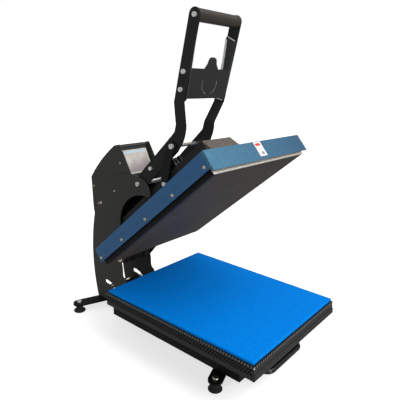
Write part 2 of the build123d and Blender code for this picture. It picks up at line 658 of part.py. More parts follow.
lever_angle = radians(STRUT_LEVER_ANGLE)
STRUT_BOTTOM = (HINGE[0] + STRUT_LEVER * cos(lever_angle), HINGE[1] + STRUT_LEVER * sin(lever_angle))
LEVER_X = (18.0, 24.0)
EYE_HALF = 4.0                     # half the thickness of a strut's end eyes
PIVOT_GAP = 0.4                    # the lower pins belong to the rods and stop short of the levers
with BuildPart() as strut_levers:
    with BuildSketch(side_plane(LEVER_X[0])):
        with Locations(yz(*HINGE)):
            Circle(22)
        with Locations(yz(*STRUT_BOTTOM)):
            Circle(11)
        make_hull()
        with Locations(yz(*HINGE)):
            Circle(BARREL_RADIUS, mode=Mode.SUBTRACT)
    extrude(amount=LEVER_X[1] - LEVER_X[0])
    mirror(strut_levers.part, about=Plane.YZ)
save(strut_levers, "strut_levers")

block_at, block_above = LINK_PIN_IN_HEAD
SPINDLE_RADIUS = 8.0
SPINDLE_OFFSET = 18.0              # the spindle stands this far in front of the links' pin
SPINDLE_AT = block_at + SPINDLE_OFFSET
SPINDLE_GAP = 0.06
with BuildPart() as pivot_block:
    slab(block_at - 20, block_at + 34, CHANNEL_INNER - 0.3, block_above - 14, block_above + 14)
    with BuildSketch(HEAD.offset(block_above - 20)):
        with Locations((SPINDLE_AT, 0)):
            Circle(SPINDLE_RADIUS)
    extrude(amount=40, mode=Mode.SUBTRACT)
    for start in (-CHANNEL_INNER, CHANNEL_INNER - 20):
        bars(start, start + 20, LINK_PIN_RADIUS, LINK_PIN, mode=Mode.SUBTRACT)
save(pivot_block, "pivot_block")

LINK_INNER = TOWER_INNER
LINK_OUTER = TOWER_OUTER
with BuildPart() as link_pivots:
    bars(CHANNEL_INNER - 20, LINK_OUTER, LINK_PIN_RADIUS, LINK_PIN)
    bars(CHANNEL_OUTER, LINK_INNER - 0.3, LINK_PIN_RADIUS + 3, LINK_PIN)
    bolt_heads(LINK_OUTER + 0.3, 6.0, 4.5, LINK_PIN)
    bars(LINK_OUTER, LINK_OUTER + 0.3, LINK_PIN_RADIUS, LINK_PIN)
    mirror(link_pivots.part, about=Plane.YZ)
save(link_pivots, "link_pivots")

KNOB_LOW = 144.0
KNOB_HIGH = 171.0
KNOB_LOBES = 6
KNOB_RADIUS = 28.0
KNOB_LOBE_RADIUS = 7.0
with BuildPart() as pressure_spindle:
    with BuildSketch(HEAD.offset(CHANNEL_FLOOR + 5)):
        with Locations((SPINDLE_AT, 0)):
            Circle(SPINDLE_RADIUS - SPINDLE_GAP)
    extrude(amount=KNOB_LOW - CHANNEL_FLOOR - 5)
save(pressure_spindle, "pressure_spindle")

with BuildPart() as pressure_knob:
    with BuildSketch(HEAD.offset(KNOB_LOW)):
        with Locations((SPINDLE_AT, 0)):
            Circle(KNOB_RADIUS - KNOB_LOBE_RADIUS)
            with PolarLocations(KNOB_RADIUS - KNOB_LOBE_RADIUS, KNOB_LOBES):
                Circle(KNOB_LOBE_RADIUS)
    extrude(amount=KNOB_HIGH - KNOB_LOW)
    top_face = pressure_knob.faces().sort_by(lambda f: f.center().dot(HEAD.z_dir))[-1]
    fillet(top_face.edges(), 3)
save(pressure_knob, "pressure_knob")

MAGNET_CASE_FRONT = 442.0
MAGNET_CASE_CREST = 411.0
MAGNET_CASE_REAR = 292.0
MAGNET_CASE_WALL = 2.5
with BuildPart() as magnet_case:
    with BuildSketch(HEAD_SIDE):
        with BuildLine():
            Polyline((MAGNET_CASE_REAR, CHANNEL_FLOOR), (MAGNET_CASE_FRONT, CHANNEL_FLOOR),
                     (MAGNET_CASE_CREST, CHANNEL_TOP), (MAGNET_CASE_REAR, CHANNEL_TOP), close=True)
        make_face()
    extrude(amount=MAGNET_HALF, both=True)
    slab(CHANNEL_FRONT + 0.5, MAGNET_CASE_REAR, CHANNEL_OUTER, CHANNEL_FLOOR, CHANNEL_TOP)
    with BuildSketch(HEAD_SIDE):
        with BuildLine():
            Polyline((CHANNEL_FRONT + 3, CHANNEL_FLOOR - 1), (MAGNET_CASE_FRONT - 3, CHANNEL_FLOOR - 1),
                     (MAGNET_CASE_CREST - 3, CHANNEL_TOP - MAGNET_CASE_WALL),
                     (CHANNEL_FRONT + 3, CHANNEL_TOP - MAGNET_CASE_WALL), close=True)
        make_face()
    extrude(amount=CHANNEL_OUTER - MAGNET_CASE_WALL, both=True, mode=Mode.SUBTRACT)
    with BuildSketch(HEAD.offset(CHANNEL_TOP + 1)):
        with Locations((MAGNET_AT, 0)):
            Circle(MAGNET_RADIUS + 0.5)
    extrude(amount=-8, mode=Mode.SUBTRACT)
save(magnet_case, "magnet_case")

with BuildPart() as electromagnet:
    with BuildSketch(HEAD.offset(MAGNET_FACE)):
        with Locations((MAGNET_AT, 0)):
            Circle(MAGNET_RADIUS)
    extrude(amount=-60)
    with BuildSketch(HEAD.offset(MAGNET_FACE)):
        with Locations((MAGNET_AT, 0)):
            Circle(MAGNET_RADIUS - 5)
            Circle(MAGNET_RADIUS - 15, mode=Mode.SUBTRACT)
    extrude(amount=-1.5, mode=Mode.SUBTRACT)
save(electromagnet, "electromagnet")

FRONT_FACE = Plane(origin=HEAD.origin + HEAD.x_dir * COVER_FRONT, x_dir=(1, 0, 0), z_dir=HEAD.x_dir)
LABEL_X = -4.0
LABEL_ABOVE = 33.0
with BuildPart() as blank_label:
    with BuildSketch(FRONT_FACE):
        with Locations((LABEL_X, LABEL_ABOVE)):
            RectangleRounded(30, 40, 1)
    extrude(amount=0.3)
save(blank_label, "blank_label")

# =============================== handle ===============================

half_arm = ARM_WIDTH / 2
half_crank = CRANK_WIDTH / 2
crank_length = hypot(EAR[0] - CRANK_PIN[0], EAR[1] - CRANK_PIN[1])


def beside(start, end, at_start, offset_by):
    """A point at_start along start-end, moved offset_by to the rear of that line."""
    length = hypot(end[0] - start[0], end[1] - start[1])
    unit = ((end[0] - start[0]) / length, (end[1] - start[1]) / length)
    point = (start[0] + unit[0] * at_start, start[1] + unit[1] * at_start)
    return (point[0] - unit[1] * offset_by, point[1] + unit[0] * offset_by)


# The arm runs straight down, then widens and turns at the elbow into the crank.
ARM_REAR_EDGE = [(358.3, 530.0), (371.1, 480.0)]
ELBOW = (376.7, 455.6)
ARM_FRONT_EDGE = [(347.5, 430.0), (341.0, 446.0), (337.0, 465.0), (336.7, 480.0), (325.0, 530.0)]
front_corner = yz(*beside(CRANK_PIN, EAR, -2, -half_crank))

with BuildPart() as handle_arm:
    with BuildSketch(side_plane(CRANK_INNER)):
        with BuildLine():
            Polyline(yz(*beside(ARM_TOP, ARM_REAR_EDGE[0], 0, half_arm)),
                     *[yz(*spot) for spot in ARM_REAR_EDGE], yz(*ELBOW),
                     yz(*beside(CRANK_PIN, EAR, crank_length, half_crank - 2)),
                     yz(*beside(CRANK_PIN, EAR, crank_length, -half_crank)), front_corner,
                     *[yz(*spot) for spot in ARM_FRONT_EDGE],
                     yz(*beside(ARM_TOP, ARM_FRONT_EDGE[-1], 0, -half_arm)), close=True)
        make_face()
        fillet(vertices().sort_by_distance((*yz(*ELBOW), 0))[0], 20)
        fillet(vertices().sort_by_distance((*front_corner, 0))[0], 16)
        with Locations(yz(*ARM_TOP)):
            Circle(half_arm)
        with Locations(yz(*EAR)):
            Circle(half_crank - 1)
            Circle(6.06, mode=Mode.SUBTRACT)
        with Locations(yz(*CRANK_PIN)):
            Circle(CROSS_SHAFT_RADIUS, mode=Mode.SUBTRACT)
    extrude(amount=ARM_INNER + ARM_THICKNESS - CRANK_INNER)
    with BuildSketch(Plane.XZ.offset(-yz(560, 0)[0])) as bent_strip:
        with BuildLine():
            crank_outer = CRANK_INNER + ARM_THICKNESS
            arm_outer = ARM_INNER + ARM_THICKNESS
            Polyline((ARM_INNER, PAD_TOP + 800), (arm_outer, PAD_TOP + 800),
                     (arm_outer, PAD_TOP + JOGGLE_TOP - 1), (crank_outer, PAD_TOP + JOGGLE_BOTTOM - 1),
                     (crank_outer, PAD_TOP + 200), (CRANK_INNER, PAD_TOP + 200),
                     (CRANK_INNER, PAD_TOP + JOGGLE_BOTTOM + 1), (ARM_INNER, PAD_TOP + JOGGLE_TOP + 1),
                     close=True)
        make_face()
        fillet(vertices().sort_by(Axis.Y)[2:6], 6)
    extrude(amount=400, mode=Mode.INTERSECT)
save_pair(handle_arm, "handle_arm")

with BuildPart() as grip_tube:
    bars(-ARM_INNER, ARM_INNER, GRIP_RADIUS, GRIP)
    bars(-ARM_INNER, ARM_INNER, GRIP_RADIUS - 4, GRIP, mode=Mode.SUBTRACT)
save(grip_tube, "grip_tube")

# The plate that the magnet holds: flat between the arms, with a tab on its upper edge and a
# side flange along each arm.
STRIKE_TOP = (304.0, 619.0)
STRIKE_FOOT = (317.6, 545.0)
STRIKE_SHEET = 3.0
strike_length = hypot(STRIKE_TOP[0] - STRIKE_FOOT[0], STRIKE_TOP[1] - STRIKE_FOOT[1])
strike_up = Vector(0, STRIKE_TOP[0] - STRIKE_FOOT[0], STRIKE_TOP[1] - STRIKE_FOOT[1]).normalized()
strike_face = Vector(1, 0, 0).cross(strike_up)
STRIKE = Plane(origin=(0, *yz(*STRIKE_FOOT)), x_dir=(1, 0, 0), z_dir=strike_face)
STRIKE_HALF = ARM_INNER - 0.1
TAB_HEIGHT = 29.0
FLANGE = [(325.0, 538.0), STRIKE_FOOT, STRIKE_TOP, (290.5, 694.0), (314.5, 706.5), (318.0, 705.5),
          (322.5, 699.0), (334.2, 620.7), (353.5, 542.8)]
TAB_FOOT = 27.0
TAB_WAIST = 17.0
TAB_FLARE = 13.0
TAB_HALF = 13.0
TAB_ROUND = 11.5
with BuildPart() as strike_plate:
    with BuildSketch(STRIKE):
        with BuildLine():
            Polyline((-STRIKE_HALF, 0), (STRIKE_HALF, 0), (STRIKE_HALF, strike_length),
                     (TAB_FOOT, strike_length), (TAB_WAIST, strike_length + TAB_FLARE),
                     (TAB_HALF, strike_length + TAB_HEIGHT), (-TAB_HALF, strike_length + TAB_HEIGHT),
                     (-TAB_WAIST, strike_length + TAB_FLARE), (-TAB_FOOT, strike_length),
                     (-STRIKE_HALF, strike_length), close=True)
        make_face()
        fillet(vertices().group_by(Axis.Y)[-1], TAB_ROUND)
    extrude(amount=-STRIKE_SHEET)
    for side in (-1, 1):
        with BuildSketch(side_plane(side * STRIKE_HALF)) as flange:
            with BuildLine():
                Polyline(*[yz(*spot) for spot in FLANGE], close=True)
            make_face()
        extrude(flange.sketch, amount=-side * STRIKE_SHEET)
save(strike_plate, "strike_plate")

STRIKE_BOLTS = [(324.3, 611.0), (333.2, 567.6)]
with BuildPart() as arm_bolts:
    bolt_heads(ARM_INNER + ARM_THICKNESS, 6.0, 5.0, GRIP, *STRIKE_BOLTS)
    bolt_heads(CRANK_INNER + ARM_THICKNESS, 5.8, 5.0, SPACER)
    mirror(arm_bolts.part, about=Plane.YZ)
save(arm_bolts, "arm_bolts")

with BuildPart() as cross_shaft:
    bars(-CRANK_INNER - ARM_THICKNESS, CRANK_INNER + ARM_THICKNESS, CROSS_SHAFT_RADIUS, CRANK_PIN)
save(cross_shaft, "cross_shaft")

with BuildPart() as crank_spacer:
    bars(-CRANK_INNER, CRANK_INNER, 8.0, SPACER)
save(crank_spacer, "crank_spacer")

# =============================== toggle ===============================

link_length = hypot(LINK_PIN[0] - CRANK_PIN[0], LINK_PIN[1] - CRANK_PIN[1])
link_line = ThreePointArc(yz(*CRANK_PIN), yz(*beside(CRANK_PIN, LINK_PIN, link_length / 2, LINK_BOW)),
                          yz(*LINK_PIN))
with BuildPart() as toggle_link:
    with BuildSketch(side_plane(LINK_INNER)):
        SlotArc(link_line, LINK_WIDTH)
        with Locations(yz(*LINK_PIN)):
            Circle(LINK_PIN_RADIUS + 0.06, mode=Mode.SUBTRACT)
    extrude(amount=LINK_OUTER - LINK_INNER)
save_pair(toggle_link, "toggle_link")

with BuildPart() as link_bolts:
    bolt_heads(LINK_OUTER, 7.2, 6.0, CRANK_PIN)
    mirror(link_bolts.part, about=Plane.YZ)
save(link_bolts, "link_bolts")

# ============================= gas struts =============================

STRUT_LENGTH = hypot(STRUT_BOTTOM[0] - STRUT_TOP[0], STRUT_BOTTOM[1] - STRUT_TOP[1])
strut_down = Vector(0, STRUT_BOTTOM[0] - STRUT_TOP[0], STRUT_BOTTOM[1] - STRUT_TOP[1]).normalized()
STRUT = Plane(origin=(STRUT_X, *yz(*STRUT_TOP)), x_dir=(1, 0, 0), z_dir=strut_down)
CYLINDER_START = 12.0
CYLINDER_END = 122.0
ROD_START = 92.0
ROD_RADIUS = 3.5


def strut_bar(start, end, radius, mode=Mode.ADD):
    """A round length of the right-hand strut, measured from its top pin."""
    with BuildSketch(STRUT.offset(start)) as section:
        Circle(radius)
    extrude(section.sketch, amount=end - start, mode=mode)


with BuildPart() as gas_cylinders:
    bars(STRUT_X - EYE_HALF, STRUT_X + EYE_HALF, 9.0, STRUT_TOP)
    strut_bar(CYLINDER_START - 6, CYLINDER_START, 4.5)
    strut_bar(CYLINDER_START, CYLINDER_END, 10.0)
    bars(STRUT_X - EYE_HALF, STRUT_X + EYE_HALF, 5.06, STRUT_TOP, mode=Mode.SUBTRACT)
    strut_bar(CYLINDER_START + 10, CYLINDER_END, ROD_RADIUS + 0.06, mode=Mode.SUBTRACT)
    mirror(gas_cylinders.part, about=Plane.YZ)
save(gas_cylinders, "gas_cylinders")

with BuildPart() as gas_rods:
    strut_bar(ROD_START, STRUT_LENGTH - 9, ROD_RADIUS)
    bars(STRUT_X - EYE_HALF, STRUT_X + EYE_HALF, 11.0, STRUT_BOTTOM)
    bars(LEVER_X[1] + PIVOT_GAP, STRUT_X + EYE_HALF + 3, 5.0, STRUT_BOTTOM)
    mirror(gas_rods.part, about=Plane.YZ)
save(gas_rods, "gas_rods")
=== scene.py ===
from math import cos, pi, radians, sin, tau

import bmesh
import bpy
from mathutils import Matrix, Vector, noise


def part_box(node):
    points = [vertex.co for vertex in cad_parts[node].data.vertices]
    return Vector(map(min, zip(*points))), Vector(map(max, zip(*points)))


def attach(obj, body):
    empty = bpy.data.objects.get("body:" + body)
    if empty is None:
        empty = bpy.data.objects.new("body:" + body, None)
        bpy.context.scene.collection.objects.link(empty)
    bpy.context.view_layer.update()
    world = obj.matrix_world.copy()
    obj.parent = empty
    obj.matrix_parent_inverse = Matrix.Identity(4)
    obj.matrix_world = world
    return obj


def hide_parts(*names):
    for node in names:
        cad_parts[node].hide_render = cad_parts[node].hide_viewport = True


# Looks of a clamshell heat press: materials for every CAD node, detailed pieces where a plain
# solid is not enough, a pale studio and the camera. Metres, in the part's own frame.

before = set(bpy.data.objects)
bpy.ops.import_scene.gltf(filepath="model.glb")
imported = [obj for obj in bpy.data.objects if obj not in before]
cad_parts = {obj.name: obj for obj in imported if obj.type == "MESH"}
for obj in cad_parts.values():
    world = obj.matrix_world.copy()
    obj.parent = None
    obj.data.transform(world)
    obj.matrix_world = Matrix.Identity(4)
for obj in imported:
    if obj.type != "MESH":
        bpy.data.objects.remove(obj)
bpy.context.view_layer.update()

MM = 0.001
PAD_LOW, PAD_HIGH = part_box("pad")
PAD_EDGE = Vector((0, PAD_LOW.y, PAD_HIGH.z))


def place(x, depth, height):
    """A point from x, depth behind the pad's front edge and height above its top, in mm."""
    return PAD_EDGE + Vector((x, depth, height)) * MM


# The head's own axes: its origin is the upper platen's rear edge, on the platen's face.
HEAD_TILT = radians(40.6)
HEAD_ORIGIN = place(0, 507.3, 75.6)
HEAD_ALONG = Vector((0, -cos(HEAD_TILT), sin(HEAD_TILT)))
HEAD_NORMAL = Vector((0, sin(HEAD_TILT), cos(HEAD_TILT)))


ACROSS = Vector((1, 0, 0))

# =============================== material tools ===============================


class Shader:
    """A node material under construction. Socket names are given as keywords with underscores."""

    def __init__(self, name, **constants):
        self.data = bpy.data.materials.new(name)
        self.data.use_nodes = True
        self.tree = self.data.node_tree
        self.surface = self.tree.nodes["Principled BSDF"]
        self.coordinates = self.add("ShaderNodeTexCoord")
        self.place = self.coordinates.outputs["Object"]
        self.set(**constants)

    def feed(self, socket, value):
        if isinstance(value, bpy.types.NodeSocket):
            self.tree.links.new(value, socket)
        elif isinstance(value, tuple) and len(value) == 3 and socket.type == "RGBA":
            socket.default_value = (*value, 1)
        else:
            socket.default_value = value

    def add(self, kind, settings=None, **values):
        node = self.tree.nodes.new(kind)
        for key, value in (settings or {}).items():
            setattr(node, key, value)
        for key, value in values.items():
            self.feed(node.inputs[key.replace("_", " ")], value)
        return node

    def set(self, **values):
        for key, value in values.items():
            self.feed(self.surface.inputs[key.replace("_", " ")], value)

    def stretched(self, x, y, z):
        mapping = self.add("ShaderNodeMapping", Vector=self.place)
        mapping.inputs["Scale"].default_value = (x, y, z)
        return mapping.outputs["Vector"]

    def noise(self, size, detail=2.0, rough=0.5, vector=None, distortion=0.0):
        """Noise between 0 and 1 whose blobs are about size metres across."""
        node = self.add("ShaderNodeTexNoise", Vector=vector or self.place, Scale=1 / size,
                        Detail=detail, Roughness=rough, Distortion=distortion)
        return node.outputs["Fac"]

    def cells(self, size, vector=None):
        node = self.add("ShaderNodeTexVoronoi", Vector=vector or self.place, Scale=1 / size)
        return node.outputs["Distance"]

    def math(self, operation, a, b=0.0, clamp=False):
        node = self.add("ShaderNodeMath", {"operation": operation, "use_clamp": clamp})
        self.feed(node.inputs[0], a)
        self.feed(node.inputs[1], b)
        return node.outputs[0]

    def dot(self, vector, direction):
        node = self.add("ShaderNodeVectorMath", {"operation": "DOT_PRODUCT"})
        self.feed(node.inputs[0], vector)
        self.feed(node.inputs[1], direction)
        return node.outputs["Value"]

    def remap(self, value, low, high, to_low=0.0, to_high=1.0):
        node = self.add("ShaderNodeMapRange", {"clamp": True})
        for index, part in enumerate((value, low, high, to_low, to_high)):
            self.feed(node.inputs[index], part)
        return node.outputs["Result"]

    def mix(self, factor, a, b):
        node = self.add("ShaderNodeMix", {"data_type": "RGBA"})
        for index, part in ((0, factor), (6, a), (7, b)):
            self.feed(node.inputs[index], part)
        return node.outputs[2]

    def bump(self, height, depth, strength=1.0, normal=None):
        """Bump of a 0 to 1 height over depth metres."""
        node = self.add("ShaderNodeBump", Strength=strength, Distance=depth, Height=height)
        if normal:
            self.feed(node.inputs["Normal"], normal)
        return node.outputs["Normal"]

    def rounded(self, radius):
        """The normal of the surface with its edges rounded off."""
        return self.add("ShaderNodeBevel", {"samples": 4}, Radius=radius).outputs["Normal"]

    def edges(self, radius, low=0.02, high=0.25):
        """1 on sharp edges, 0 on open faces."""
        geometry = self.add("ShaderNodeNewGeometry").outputs["Normal"]
        same = self.dot(self.rounded(radius), geometry)
        return self.remap(self.math("SUBTRACT", 1.0, same), low, high)

    def reach(self, origin, direction):
        """Distance from origin along a unit direction, in mm."""
        ahead = self.math("SUBTRACT", self.dot(self.place, tuple(direction)), origin.dot(direction))
        return self.math("DIVIDE", ahead, MM)

    def band(self, value, low, high, soft=0.2):
        """1 where a value in mm is between low and high."""
        above = self.remap(value, low - soft, low + soft)
        below = self.remap(value, high + soft, high - soft)
        return self.math("MULTIPLY", above, below)

    def both(self, *masks):
        total = masks[0]
        for mask in masks[1:]:
            total = self.math("MULTIPLY", total, mask)
        return total


def scaled(colour, factor):
    return tuple(min(1.0, channel * factor) for channel in colour)


def powder_coat(name, colour, roughness=0.5, grain=0.0011, depth=0.00010, spread=0.10,
                edge=2.2, edge_radius=0.0008, specular=0.22):
    """Baked powder coat: orange peel, faint clouding and edges painted paler as painted highlights where
    the light catches.
    """
    shader = Shader(name, Specular_IOR_Level=specular)
    cloud = shader.noise(0.06, 4, 0.6)
    fine = shader.noise(grain, 3, 0.55)
    speck = shader.remap(shader.noise(grain * 0.6, 1), 0.56, 0.72)
    base = shader.mix(cloud, scaled(colour, 1 - spread), scaled(colour, 1 + spread))
    base = shader.mix(shader.math("MULTIPLY", speck, 0.25), base, scaled(colour, 1.7))
    # painted highlight: the edges are painted paler, by the edge factor, where the light catches them
    painted_highlight = shader.math("MULTIPLY", shader.edges(edge_radius), 0.5)
    base = shader.mix(painted_highlight, base, scaled(colour, edge))
    normal = shader.bump(fine, depth, normal=shader.rounded(edge_radius))
    shader.set(Base_Color=base, Normal=normal,
               Roughness=shader.remap(fine, 0.3, 0.7, roughness - 0.07, roughness + 0.07))
    return shader


def metal(name, colour, roughness=0.3, grain=(1, 1, 1), size=0.0008, tint=0.12, depth=0.00003,
          metallic=1.0):
    """Bare or plated metal, brushed where grain stretches the noise."""
    shader = Shader(name, Metallic=metallic)
    brushed = shader.noise(size, 3, 0.6, shader.stretched(*grain))
    stain = shader.noise(0.01, 3, 0.6)
    tone = shader.mix(stain, scaled(colour, 1 - tint), scaled(colour, 1 + tint))
    shader.set(Base_Color=shader.mix(shader.math("MULTIPLY", brushed, 0.3), tone, scaled(colour, 0.7)),
               Roughness=shader.remap(brushed, 0.2, 0.8, roughness * 0.75, roughness * 1.3),
               Normal=shader.bump(brushed, depth, normal=shader.rounded(0.0005)))
    return shader


def moulded(name, colour, roughness=0.4, grain=0.0006, depth=0.00005, specular=0.3, coat=0.0):
    """Moulded plastic or rubber with a fine texture."""
    shader = Shader(name, Specular_IOR_Level=specular, Coat_Weight=coat, Coat_Roughness=0.15)
    fine = shader.noise(grain, 3, 0.6)
    cloud = shader.noise(0.02, 3, 0.55)
    base = shader.mix(cloud, scaled(colour, 0.85), scaled(colour, 1.2))
    shader.set(Base_Color=base, Normal=shader.bump(fine, depth, normal=shader.rounded(0.0006)),
               Roughness=shader.remap(fine, 0.3, 0.7, roughness - 0.05, roughness + 0.08))
    return shader


def paint(material, *names):
    """Gives a CAD node or piece this material."""
    for name in names:
        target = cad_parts.get(name) or bpy.data.objects[name]
        if not target.data.materials:
            target.data.materials.append(material.data)
        for index in range(len(target.material_slots)):
            target.material_slots[index].material = material.data


# =============================== mesh tools ===============================


def add_piece(name, body, material, mesh_data, stands_for=(), smooth=False):
    """Turns a bmesh into a shown piece that rides on a body."""
    bmesh.ops.recalc_face_normals(mesh_data, faces=mesh_data.faces)
    mesh = bpy.data.meshes.new(name)
    mesh_data.to_mesh(mesh)
    mesh_data.free()
    obj = bpy.data.objects.new(name, mesh)
    bpy.context.collection.objects.link(obj)
    mesh.materials.append(material.data)
    if smooth:
        mesh.shade_smooth()
    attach(obj, body)
    if stands_for:
        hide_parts(*stands_for)
    return obj


def prism(mesh_data, outline, shift):
    """A closed solid from an outline of points and the vector to its other end."""
    near = [mesh_data.verts.new(point) for point in outline]
    far = [mesh_data.verts.new(point + shift) for point in outline]
    mesh_data.faces.new(near)
    mesh_data.faces.new(far[::-1])
    for index in range(len(outline)):
        after = (index + 1) % len(outline)
        mesh_data.faces.new((near[index], far[index], far[after], near[after]))


def turned_piece(mesh_data, centre, axis, profile, segments=20):
    """A closed lathe shape: profile is (radius, reach along axis) in mm, from axis to axis."""
    side = axis.orthogonal().normalized()
    other = axis.cross(side)
    rings = []
    for radius, reach in profile:
        middle = centre + axis * reach * MM
        if radius == 0:
            rings.append([mesh_data.verts.new(middle)])
            continue
        ring = []
        for step in range(segments):
            angle = tau * step / segments
            spoke = side * cos(angle) + other * sin(angle)
            ring.append(mesh_data.verts.new(middle + spoke * radius * MM))
        rings.append(ring)
    for low, high in zip(rings, rings[1:]):
        for step in range(segments):
            after = (step + 1) % segments
            corners = [low[step % len(low)], low[after % len(low)],
                       high[after % len(high)], high[step % len(high)]]
            mesh_data.faces.new(list(dict.fromkeys(corners)))


# =============================== materials ===============================

base_black = powder_coat("base_black_coat", (0.0040, 0.0039, 0.0035), 0.55, specular=0.16)
plate_black = powder_coat("plate_black_coat", (0.0135, 0.0135, 0.0130), 0.52)
tower_coat = powder_coat("tower_coat", (0.0460, 0.0452, 0.0420), 0.6, edge=1.5)
arm_coat = powder_coat("arm_coat", (0.0135, 0.0142, 0.0146), 0.5, edge=3.5)
link_coat = powder_coat("link_coat", (0.0045, 0.0046, 0.0048), 0.5, edge=3.0)
gloss_black = powder_coat("gloss_black_coat", (0.006, 0.006, 0.006), 0.2, specular=0.5)
leg_coat = powder_coat("leg_coat", (0.0060, 0.0060, 0.0056), 0.5, specular=0.10, edge=1.5)
rubber = moulded("foot_rubber", (0.012, 0.012, 0.012), 0.6)
knob_plastic = moulded("knob_plastic", (0.008, 0.008, 0.008), 0.16, specular=0.6)
bezel_plastic = moulded("bezel_plastic", (0.012, 0.0125, 0.014), 0.45)
inlet_plastic = moulded("inlet_plastic", (0.015, 0.015, 0.015), 0.4)
rocker_plastic = moulded("rocker_plastic", (0.35, 0.012, 0.01), 0.25, coat=0.3)
grip_rubber = moulded("grip_rubber", (0.034, 0.028, 0.023), 0.42, grain=0.0009, depth=0.00010)
board_green = moulded("board_green", (0.02, 0.12, 0.05), 0.35)
wool = moulded("mineral_board", (0.55, 0.52, 0.46), 0.95, grain=0.0015, depth=0.0004)
bright_bolt = metal("bright_bolt", (0.95, 0.93, 0.89), 0.30, metallic=0.55)
zinc = metal("zinc_plate", (0.78, 0.77, 0.73), 0.32)
gold_screw = metal("gold_screw", (0.66, 0.52, 0.36), 0.36, metallic=0.6)
turned = metal("turned_steel", (0.78, 0.71, 0.62), 0.28, grain=(4, 1, 1))
drawn = metal("drawn_steel", (0.55, 0.55, 0.56), 0.35, grain=(1, 0.05, 1))
bronze = metal("sintered_bronze", (0.52, 0.34, 0.16), 0.45)
pole_face = metal("pole_face", (0.42, 0.41, 0.40), 0.35)
chrome = metal("polished_rod", (0.8, 0.8, 0.8), 0.1)
# painted highlight: bright metal for the strips along the strike plate's flange edges
edge_steel = metal("edge_steel", (0.86, 0.86, 0.85), 0.45, metallic=0.25)
trim_coat = powder_coat("trim_coat", (0.0175, 0.0178, 0.0172), 0.42, grain=0.0009, edge=2.0,
                        specular=0.35)
# painted shade: a near-black coat for recesses and grooves
recess_coat = powder_coat("recess_coat", (0.004, 0.004, 0.004), 0.6, specular=0.1)
# painted highlight: a paler coat for the lit tops of the teeth
tooth_coat = powder_coat("tooth_coat", (0.072, 0.076, 0.077), 0.3, grain=0.0007, edge=3.0,
                         specular=0.6)


PLATE_FRONT = 498.0                  # the machined front face, along the head


def heater_material():
    """Cast plate: a brown-grey, blotchy working face with painted shade, paler and browner at the rear
    left, darker grey towards the front right and near-black close to its side edges, black sides and a
    bright machined front.
    """
    shader = Shader("heater_plate_finish", Specular_IOR_Level=0.25)
    above = shader.reach(HEAD_ORIGIN, HEAD_NORMAL)
    along = shader.reach(HEAD_ORIGIN, HEAD_ALONG)
    working = shader.remap(above, 0.55, 0.35)
    front = shader.remap(along, PLATE_FRONT - 0.4, PLATE_FRONT + 0.4)
    blotch = shader.noise(0.075, 5, 0.62)
    fine = shader.noise(0.0014, 3, 0.6)
    across = shader.reach(HEAD_ORIGIN, ACROSS)
    patchy = shader.remap(blotch, 0.3, 0.72)
    browned = shader.mix(patchy, (0.080, 0.054, 0.026), (0.118, 0.083, 0.043))
    grey = shader.mix(patchy, (0.035, 0.029, 0.022), (0.052, 0.044, 0.034))
    # painted shade: the working face runs from the paler brown tone at the rear left to the darker grey
    # at the front right
    ahead = shader.math("ADD", along, shader.math("MULTIPLY", across, 0.6))
    face = shader.mix(shader.remap(ahead, -20, 600), browned, grey)
    face = shader.mix(shader.math("MULTIPLY", fine, 0.3), face, (0.070, 0.060, 0.050))
    # painted shade: the working face darkens to near-black close to its left and right edges
    rim = shader.remap(shader.math("ABSOLUTE", across), 178, 195)
    face = shader.mix(rim, face, (0.010, 0.009, 0.008))
    base = shader.mix(working, (0.0035, 0.0035, 0.0035), face)
    stain = shader.noise(0.004, 4, 0.6, shader.stretched(0.25, 1, 1))
    silver = shader.mix(shader.remap(stain, 0.35, 0.75), (0.86, 0.84, 0.80), (0.62, 0.56, 0.48))
    shader.set(Base_Color=shader.mix(front, base, silver),
               Metallic=shader.remap(front, 0, 1, 0, 0.3),
               Roughness=shader.remap(front, 0, 1, 0.62, 0.42),
               Normal=shader.bump(fine, 0.00008, normal=shader.rounded(0.001)))
    return shader


PRESSED_LINE = 27.0                  # height of the pressed line along the cover's sides, drawn as painted shade and painted highlight
COVER_FRONT = 504.0                  # where the cover's front face begins, along the head


def cover_material():
    """Metallic blue coat: mottled orange peel in front, darkening from left to right as painted shade,
    and smooth sides with a pressed line drawn as painted shade and painted highlight.
    """
    shader = Shader("cover_coat", Specular_IOR_Level=0.3)
    along = shader.reach(HEAD_ORIGIN, HEAD_ALONG)
    above = shader.reach(HEAD_ORIGIN, HEAD_NORMAL)
    across = shader.reach(HEAD_ORIGIN, ACROSS)
    front = shader.remap(along, COVER_FRONT - 1.0, COVER_FRONT + 1.0)
    mottle = shader.noise(0.0048, 4, 0.62)
    fine = shader.noise(0.0014, 3, 0.6)
    cloud = shader.noise(0.07, 3, 0.5)
    # painted shade: both mottle tones of the front darken from left to right
    painted_shade_rightward = shader.remap(across, -190, 200)
    lit = shader.mix(painted_shade_rightward, (0.050, 0.172, 0.275), (0.024, 0.092, 0.180))
    deep = shader.mix(painted_shade_rightward, (0.032, 0.125, 0.215), (0.014, 0.060, 0.130))
    face = shader.mix(shader.remap(mottle, 0.36, 0.62), deep, lit)
    face = shader.mix(shader.math("MULTIPLY", shader.remap(fine, 0.5, 0.75), 0.5), face,
                      (0.075, 0.230, 0.340))
    flank = shader.mix(cloud, (0.027, 0.107, 0.255), (0.034, 0.125, 0.285))
    # painted shade and painted highlight: the pressed line is a dark line with a pale line just above it
    flank = shader.mix(shader.band(above, PRESSED_LINE - 1.0, PRESSED_LINE, 0.5), flank,
                       (0.014, 0.065, 0.160))
    flank = shader.mix(shader.band(above, PRESSED_LINE + 0.4, PRESSED_LINE + 1.2, 0.4), flank,
                       (0.050, 0.165, 0.340))
    peel = shader.bump(mottle, 0.00030, normal=shader.rounded(0.0008))
    shader.set(Base_Color=shader.mix(front, flank, face), Normal=shader.bump(fine, 0.00006, normal=peel),
               Roughness=shader.remap(mottle, 0.3, 0.7, 0.38, 0.48))
    return shader


